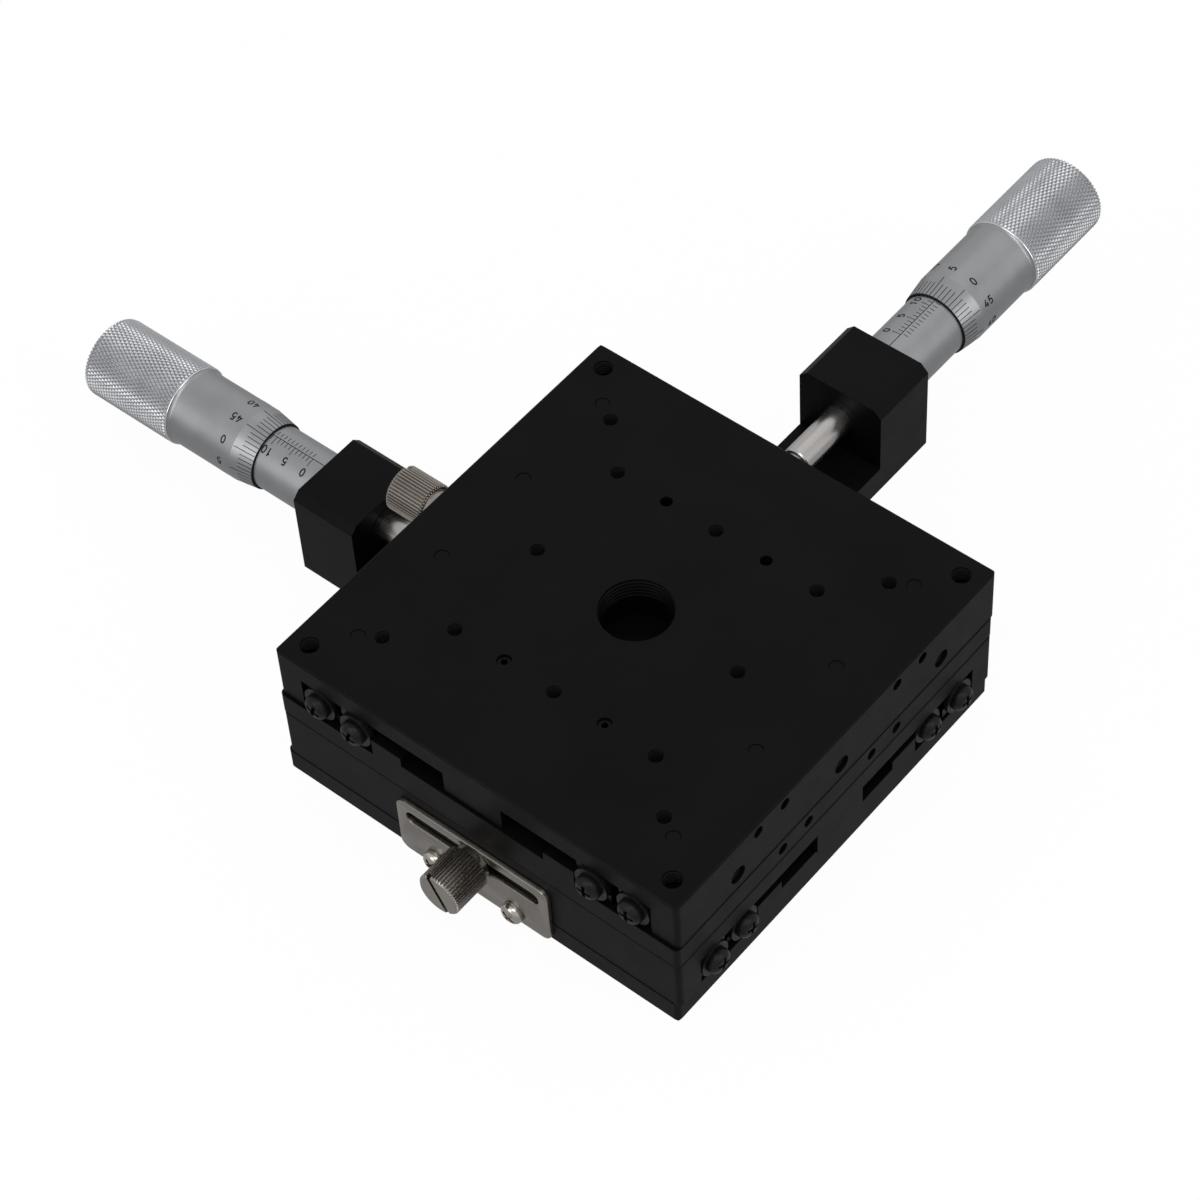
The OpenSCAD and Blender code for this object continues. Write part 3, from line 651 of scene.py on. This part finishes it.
def lock_plate(name, matrix, body, node, material):
    """Slotted lock plate with rolled edges, on the side of a stage."""
    roll = 0.16
    hole_steps = 40

    def loops(inset):
        """Outline, slot and holes of the plate, each drawn back from its edge by inset."""
        outside = rounded_box(PLATE_L, PLATE_H, PLATE_R, inset, 10)
        slot = rounded_box(SLOT_L, SLOT_H, SLOT_H / 2, -inset, 16)
        found = [[(x, y + PLATE_Z + PLATE_H / 2) for x, y in outside], [(x, y + LOCK_Z) for x, y in slot]]
        for hole in (-PLATE_HOLES, PLATE_HOLES):
            found.append(circle(hole, PLATE_HOLE_Z, PLATE_HOLE_R + inset, hole_steps))
        return found

    solid = Solid()
    levels = ((0, 0), (PLATE_T - roll, 0), (PLATE_T - 0.3 * roll, 0.3 * roll), (PLATE_T, roll))
    shells = [[solid.ring([(x, y, z) for x, y in loop]) for loop in loops(inset)] for z, inset in levels]
    for low, high in zip(shells, shells[1:]):
        for a, b in zip(low, high):
            solid.bridge(a, b)
    for shell in (shells[0], shells[-1]):
        flat = [[Vector(solid.vertices[i]) for i in ring] for ring in shell]
        order = [i for ring in shell for i in ring]
        solid.faces += [tuple(order[i] for i in face) for face in tessellate_polygon(flat)]
    obj = piece(name, matrix @ lock_side(0, 0), solid, material, body, 35)
    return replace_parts(obj, node)


def prism(solid, matrix, outline, low, high):
    """A closed bar with that outline, from low to high along z."""
    rings = [solid.ring([tuple(matrix @ Vector((x, y, z))) for x, y in outline]) for z in (low, high)]
    solid.bridge(*rings)
    solid.cap(*rings)


def cut(obj, solid):
    """Cuts the closed shapes of a Solid, already in the scene's frame, out of an object's mesh."""
    cutter = piece("cutter", Matrix(), solid, INK_AND_SHADE, None)
    tool = obj.modifiers.new("cut", "BOOLEAN")
    tool.operation = "DIFFERENCE"
    tool.object = cutter
    bpy.context.view_layer.update()
    done = bpy.data.meshes.new_from_object(obj.evaluated_get(bpy.context.evaluated_depsgraph_get()))
    obj.modifiers.remove(tool)
    obj.data = done
    bpy.data.objects.remove(cutter)


# Profile of a domed head, as shares of its height and radius
DOME_SHARES = [(0, 0.97), (0.06, 1), (0.38, 1), (0.6, 0.95)]
DOME_SHARES += [(0.78, 0.84), (0.92, 0.66), (0.99, 0.46), (1, 0.4)]

# Head radius, head height, shank radius and shank length of the cross-recess screws
STOP_SCREW = (2.8, 2.2, 1.5, 9)
PLATE_SCREW = (2.5, 1.9, 1.25, 6.8)


def pan_screws(name, places, body, node, sizes, material):
    """Domed screws with a cross recess: each place is a head's frame, outwards along z."""
    head_r, head_h, shank_r, length = sizes
    recess_floor = 0.45 * head_h
    a, b = 0.6 * head_r, 0.15 * head_r
    quarter = [(a, b), (b, b), (b, a)]
    cross = quarter + [(-x, y) for x, y in reversed(quarter)]
    cross += [(-x, -y) for x, y in cross]
    outline = [(-length, 0), (-length, shank_r), (0, shank_r)]
    outline += [(z * head_h, r * head_r) for z, r in DOME_SHARES] + [(head_h, 0)]
    solid, recess = Solid(), Solid()
    for k, place in enumerate(places):
        revolve(solid, outline, 48, place)
        turned_by = place @ Matrix.Rotation(math.radians(40 + 17 * k), 4, "Z")
        prism(recess, turned_by, cross, recess_floor, head_h + 1)
    obj = piece(name, Matrix(), solid, material, body)
    cut(obj, recess)
    obj.data.shade_smooth()
    obj.data.set_sharp_from_angle(angle=math.radians(35))
    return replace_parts(obj, node)


def lock_thumb_screw(name, matrix, body, node):
    """Straight-knurled brass thumb screw, nickel plated, with a driver slot in its end."""
    thread_r, thread_end, thread_bevel = 1.5, -5.9, 0.3
    collar_r, collar_from, collar_to = 4, 1.02, 2.62
    head_r, head_end = 4.98, 11.62
    groove_depth, groove_shares = 0.42, (0, 0, 0.75, 1, 0.75, 0)
    knurled_from_r = 4.6
    count = 44 * len(groove_shares)
    slot_half_w, slot_half_l, slot_floor, slot_top = 0.5, 6, 10.42, 12.6
    outline = [(thread_end, 0), (thread_end, thread_r - thread_bevel), (thread_end + thread_bevel, thread_r)]
    outline += [(collar_from, thread_r), (collar_from, collar_r - 0.15), (collar_from + 0.15, collar_r)]
    outline += [(collar_to - 0.12, collar_r), (collar_to, collar_r + 0.1), (collar_to, head_r - 0.43)]
    outline += [(collar_to + 0.23, head_r), (head_end - 0.42, head_r)]
    outline += [(head_end, head_r - 0.48), (head_end, 0)]
    solid = Solid()
    rings = []
    for w, r in outline:
        points = []
        for k in range(count):
            a = 2 * math.pi * k / count
            groove = groove_depth * groove_shares[k % len(groove_shares)] if r > knurled_from_r else 0
            points.append(((r - groove) * math.sin(a), (r - groove) * math.cos(a), w))
        rings.append(solid.ring(points if r else points[:1]))
    for one, two in zip(rings, rings[1:]):
        solid.join(one, two)
    place = matrix @ lock_side(0, LOCK_Z)
    obj = piece(name, place, solid, NICKEL, body)
    slot = Solid()
    corners = [(-slot_half_w, -slot_half_l), (slot_half_w, -slot_half_l)]
    corners += [(slot_half_w, slot_half_l), (-slot_half_w, slot_half_l)]
    turned_by = place @ Matrix.Rotation(math.radians(28), 4, "Z")
    prism(slot, turned_by, corners, slot_floor, slot_top)
    cut(obj, slot)
    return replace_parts(obj, node)


def tube(solid, path, radius, sides=10):
    """A closed round wire along a path, turned without twist."""
    rings = []
    up = Vector((0, 0, 1))
    for i, at in enumerate(path):
        here = Vector(at)
        along = (Vector(path[min(i + 1, len(path) - 1)]) - Vector(path[max(i - 1, 0)])).normalized()
        side = along.cross(up)
        side = side.normalized() if side.length > 1e-3 else Vector((1, 0, 0))
        up = side.cross(along).normalized()
        section = [here + radius * (x * side + y * up) for x, y in circle(0, 0, 1, sides)]
        rings.append(solid.ring([tuple(point) for point in section]))
    for a, b in zip(rings, rings[1:]):
        solid.bridge(a, b)
    solid.cap(rings[0], rings[-1])


def springs(name, matrix, node, set_off):
    """Two wound tension springs whose end rings hook over a pin and a post."""
    turns, turn_steps = 34, 16
    hook_steps, hook_turn = 22, 15.5
    neck, rise = 0.5, 0.7 * COIL_R
    start, end = -SPRING_ENDS, SPRING_ENDS + set_off
    coil_start = start + 2 * COIL_R + 2 * neck
    coil_end = end - 2 * COIL_R - 2 * neck
    count = turns * turn_steps
    z = SPRING_Z

    def hook(x, y, first, turn):
        """An open ring around a pin, from an angle and on by steps, in degrees."""
        angles = [math.radians(first + turn * k) for k in range(hook_steps)]
        return [(x + COIL_R * math.cos(a), y + COIL_R * math.sin(a), z) for a in angles]

    solid = Solid()
    for y in (-SPRING_Y, SPRING_Y):
        path = hook(start, y, 200, -hook_turn) + [(coil_start - neck, y, z + rise)]
        for k in range(count + 1):
            a = 2 * math.pi * k / turn_steps
            x = coil_start + (coil_end - coil_start) * k / count
            path.append((x, y + COIL_R * math.sin(a), z + COIL_R * math.cos(a)))
        path += [(coil_end + neck, y, z + rise)] + hook(end, y, -20, hook_turn)[::-1]
        tube(solid, path, WIRE_R)
    obj = piece(name, matrix, solid, STEEL, None, 60)
    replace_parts(obj, node)
    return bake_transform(obj)


def thread(solid, matrix, radius, depth, pitch, length, segments=32):
    """The ridge of an inside thread, on a hole that starts at the frame's origin and runs down -Z."""
    lead, root, crest = 0.35 * pitch, 0.42 * pitch, 0.08 * pitch
    bite = 0.03
    fade_steps = 6
    steps = max(2, int((length - pitch) / pitch * segments))
    rings = []
    for k in range(steps + 1):
        a = 2 * math.pi * k / segments
        z = -lead - pitch * k / segments
        tip = radius - depth * min(1, k / fade_steps, (steps - k) / fade_steps)
        outline = [(radius + bite, root), (tip, crest), (tip, -crest), (radius + bite, -root)]
        points = [Vector((r * math.cos(a), r * math.sin(a), z + h)) for r, h in outline]
        rings.append(solid.ring([tuple(matrix @ point) for point in points]))
    for a, b in zip(rings, rings[1:]):
        solid.bridge(a, b)
    solid.cap(rings[0], rings[-1])


def threads(name, matrix, body, holes):
    """Threads of one plate's holes: each is a frame, a radius, a depth, a pitch and a length."""
    solid = Solid()
    for hole in holes:
        thread(solid, *hole)
    return piece(name, matrix, solid, BLACK, body, 50)


def head_rings(key, head, on, thimble, edge):
    """Dark ring of painted shade at the thimble's edge, a chamfered ring at the knurl's start whose pale
    colour paints its highlight, and the ring around the spindle's bore.
    """
    # A thin dark ring at the thimble's edge paints the shade in the gap between thimble and sleeve.
    rim = [(-0.09, 7.29), (-0.09, 7.64), (-0.03, EDGE_R), (0.06, EDGE_R + 0.04), (0.06, 7.29)]
    rim = [(edge + w, r) for w, r in rim]
    lathe(f"{key}_thimble_shade_ring", head, thimble, rim, INK_AND_SHADE, 30, True)
    # Chamfered ring at the knurl's start, coloured pale to paint the highlight it catches.
    collar = [(-0.3, 8.99), (-0.22, 9.1), (-0.06, 9.14), (0.06, 9.06), (0.06, 8.5), (-0.3, 8.5)]
    collar = [(edge + GRIP_START + w, r) for w, r in collar]
    lathe(f"{key}_grip_highlight_ring", head, thimble, collar, EDGE_HIGHLIGHT_METAL, 30, True)
    bore = [(-0.06, 3.26), (-0.06, 5.2), (0.02, 5.2), (0.02, 3.26)]
    bore = [(BLOCK_BACK + w, r) for w, r in bore]
    lathe(f"{key}_bore_ring", head, on, bore, BLACK, 30, True)


def stop_places(where, y):
    """Frames of the four stop screws of one pair of rails, at both ends and on both sides."""
    places = []
    for end in (-1, 1):
        for side in (-1, 1):
            out = Matrix.Rotation(math.radians(90 * end), 4, "Y")
            places.append(where @ move(end * HALF_W, side * y, RAIL_Z) @ out)
    return places


# Scales, grips, spindles, locks, screws and springs of both stages
for key, base, table, on, carried, set_off, chrome, polished, nickel in (
    ("x", X_BASE, X_TABLE, "base", "x_table", X_SET, CHROME_X, SPINDLE_X, PLATE_X),
    ("y", Y_BASE, Y_TABLE, "x_table", "y_table", -Y_SET, CHROME_Y, SPINDLE_Y, PLATE_Y),
):
    thimble = f"{key}_thimble"
    zero, edge, at_line = HEADS[key]
    head = base @ HEAD
    tip, step = SPINDLE_TIP - set_off, SPINDLE_STEP + edge - zero
    sleeve_scale(f"{key}_sleeve_scale", base, on, zero)
    thimble_scale(f"{key}_thimble_scale", base, thimble, edge, at_line)
    turned_thimble(f"{key}_turned_thimble", head, thimble, f"{key}_thimble", edge, chrome)
    knurled_grip(f"{key}_knurled_grip", base, thimble, f"{key}_grip", edge)
    head_rings(key, head, on, thimble, edge)
    spindle(f"{key}_polished_spindle", head, f"{key}_spindle", f"{key}_spindle", tip, step, edge, polished)
    lock_plate(f"{key}_slotted_plate", base, on, f"{key}_lock_plate", nickel)
    lock_thumb_screw(f"{key}_lock_thumb_screw", table, f"{key}_lock", f"{key}_lock_screw")
    for row, where, rides, y in (("inner", base, on, INNER_RAIL_Y), ("outer", table, carried, OUTER_RAIL_Y)):
        node = f"{key}_{row}_stop_screws"
        places = stop_places(where, y)
        pan_screws(f"{key}_{row}_cross_screws", places, rides, node, STOP_SCREW, OXIDE)
    side = base @ lock_side(PLATE_T, 0)
    places = [side @ move(x, PLATE_HOLE_Z, 0) for x in (-PLATE_HOLES, PLATE_HOLES)]
    node = f"{key}_lock_plate_screws"
    pan_screws(f"{key}_plate_cross_screws", places, on, node, PLATE_SCREW, BRIGHT_NICKEL)
    springs(f"{key}_wound_springs", base, f"{key}_springs", set_off)

# Radius, depth, pitch and length of the threads in the top table, and steps a turn of the large one
CENTRE_THREAD = (7.71, 0.32, 1.0, 6.5, 72)
M4_THREAD = (2.05, 0.26, 0.7, 4.5)
M3_THREAD = (1.55, 0.2, 0.5, 4.8)

top_holes = [(move(0, 0, STAGE_H), *CENTRE_THREAD)]
for a in (-1, 1):
    for b in (-1, 1):
        for spacing, sizes in ((CORNER_HOLES, M4_THREAD), (INNER_HOLES, M3_THREAD), (GRID_HOLES, M3_THREAD)):
            top_holes.append((move(spacing * a, spacing * b, STAGE_H), *sizes))
    top_holes.append((move(GRID_HOLES * a, 0, STAGE_H), *M3_THREAD))
    top_holes.append((move(0, GRID_HOLES * a, STAGE_H), *M3_THREAD))
threads("table_threads", Y_TABLE, "y_table", top_holes)

# Camera, fitted to the corners of the plates in the photograph: angles, target and distance in metres
AZIMUTH, ELEVATION, ROLL = math.radians(42.665), math.radians(51.402), math.radians(-4.29)
TARGET = Vector((-27.326, 20.723, -0.3)) / 1000
DISTANCE = 0.791612
FOCAL_LENGTH = 114.499

level = math.cos(ELEVATION)
back = Vector((math.sin(AZIMUTH) * level, -math.cos(AZIMUTH) * level, math.sin(ELEVATION)))
right = (-back).cross(Vector((0, 0, 1))).normalized()
down = (-back).cross(right)
turned_right = math.cos(ROLL) * right - math.sin(ROLL) * down
turned_down = math.sin(ROLL) * right + math.cos(ROLL) * down
lens = bpy.data.cameras.new("camera")
lens.sensor_width = 36
lens.lens = FOCAL_LENGTH
lens.clip_start = 0.01
lens.clip_end = 20
camera = bpy.data.objects.new("camera", lens)
bpy.context.scene.collection.objects.link(camera)
pose = Matrix((turned_right, -turned_down, back)).transposed().to_4x4()
camera.matrix_world = Matrix.Translation(TARGET + DISTANCE * back) @ pose
bpy.context.scene.camera = camera

# Pale floor just under the part, almost white to the camera and darker in reflections, with a soft shadow
FLOOR_HALF = 3
FLOOR_Z = -0.00003
FLOOR_PALE = 0.93
GLOW_SHARE = 0.96
GLOW_IN_REFLECTIONS = 0.45

corners = [(-1, -1), (1, -1), (1, 1), (-1, 1)]
floor_mesh = bpy.data.meshes.new("floor")
floor_mesh.from_pydata([(FLOOR_HALF * x, FLOOR_HALF * y, FLOOR_Z) for x, y in corners], [], [(0, 1, 2, 3)])
floor = bpy.data.objects.new("floor", floor_mesh)
bpy.context.scene.collection.objects.link(floor)
paper = bpy.data.materials.new("pale_floor")
paper.use_nodes = True
tree = paper.node_tree
diffuse = tree.nodes["Principled BSDF"]
socket(diffuse, "Base Color", (FLOOR_PALE, FLOOR_PALE, FLOOR_PALE, 1))
socket(diffuse, "Roughness", 0.9)
socket(diffuse, "Specular IOR Level", 0.1)
glow = tree.nodes.new("ShaderNodeEmission")
socket(glow, "Color", (1, 1, 1, 1))
path = tree.nodes.new("ShaderNodeLightPath")
seen = tree.nodes.new("ShaderNodeMath")
seen.operation = "MAXIMUM"
tree.links.new(path.outputs["Is Camera Ray"], seen.inputs[0])
tree.links.new(path.outputs["Is Glossy Ray"], seen.inputs[1])
share = tree.nodes.new("ShaderNodeMath")
share.operation = "MULTIPLY"
socket(share, 1, GLOW_SHARE)
tree.links.new(seen.outputs[0], share.inputs[0])
bright = tree.nodes.new("ShaderNodeMath")
bright.operation = "MULTIPLY_ADD"
socket(bright, 1, 1 - GLOW_IN_REFLECTIONS)
socket(bright, 2, GLOW_IN_REFLECTIONS)
tree.links.new(path.outputs["Is Camera Ray"], bright.inputs[0])
tree.links.new(bright.outputs[0], glow.inputs["Strength"])
mix = tree.nodes.new("ShaderNodeMixShader")
tree.links.new(share.outputs[0], mix.inputs["Fac"])
tree.links.new(diffuse.outputs["BSDF"], mix.inputs[1])
tree.links.new(glow.outputs["Emission"], mix.inputs[2])
tree.links.new(mix.outputs["Shader"], tree.nodes["Material Output"].inputs["Surface"])
floor_mesh.materials.append(paper)

# Room light, and soft lamps around the object
world = bpy.data.worlds.new("room")
bpy.context.scene.world = world
world.use_nodes = True
sky = world.node_tree.nodes["Background"]
socket(sky, "Color", (1, 1, 1, 1))
socket(sky, "Strength", 0.7)


def lamp(name, azimuth, elevation, distance, size, radiance):
    """A soft rectangular lamp that looks at the object from a direction in degrees."""
    data = bpy.data.lights.new(name, "AREA")
    data.shape = "RECTANGLE"
    data.size, data.size_y = size
    data.energy = math.pi * size[0] * size[1] * radiance
    obj = bpy.data.objects.new(name, data)
    bpy.context.scene.collection.objects.link(obj)
    a, e = math.radians(azimuth), math.radians(elevation)
    away = Vector((math.cos(e) * math.cos(a), math.cos(e) * math.sin(a), math.sin(e)))
    obj.location = distance * away
    obj.rotation_euler = away.to_track_quat("Z", "Y").to_euler()


LAMP_DISTANCE = 1.5
lamp("lamp_left", -103, 30, LAMP_DISTANCE, size=(0.65, 1.1), radiance=1.9)
lamp("lamp_right", 13, 28, LAMP_DISTANCE, size=(0.55, 1.1), radiance=1.9)
lamp("lamp_above", -47, 65, LAMP_DISTANCE, size=(1.0, 0.7), radiance=1.9)
lamp("lamp_back", 100, 45, LAMP_DISTANCE, size=(1.2, 0.9), radiance=0.25)

view = bpy.context.scene.view_settings
view.view_transform = "Standard"
